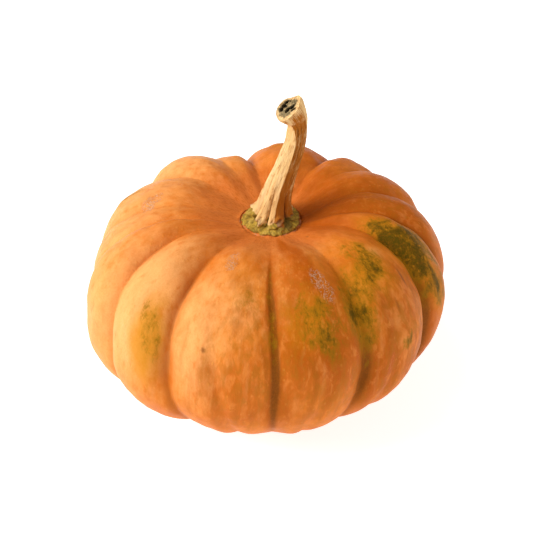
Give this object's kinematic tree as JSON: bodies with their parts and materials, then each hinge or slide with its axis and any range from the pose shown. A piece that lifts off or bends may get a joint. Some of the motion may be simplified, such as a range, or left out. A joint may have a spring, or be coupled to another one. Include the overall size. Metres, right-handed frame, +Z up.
{
  "type": "pumpkin",
  "caption": "Flattened ribbed pumpkin with deep furrows, a shallow stem cavity and a dry woody stem that leans and ends in an oblique cut.",
  "frame": {"origin": "On the surface that the pumpkin rests on, under the middle of the box around it", "axes": "+Z up through the stem end, -Y the front, +X to the right seen from the front; the stem leans towards +X"},
  "size_m": [0.2549, 0.2588, 0.2298],
  "materials": {
    "rind": "satin",
    "dry_stem": "matte"
  },
  "bodies": {
    "root": {"fruit": "rind", "stem": "dry_stem"}
  },
  "joints": []
}
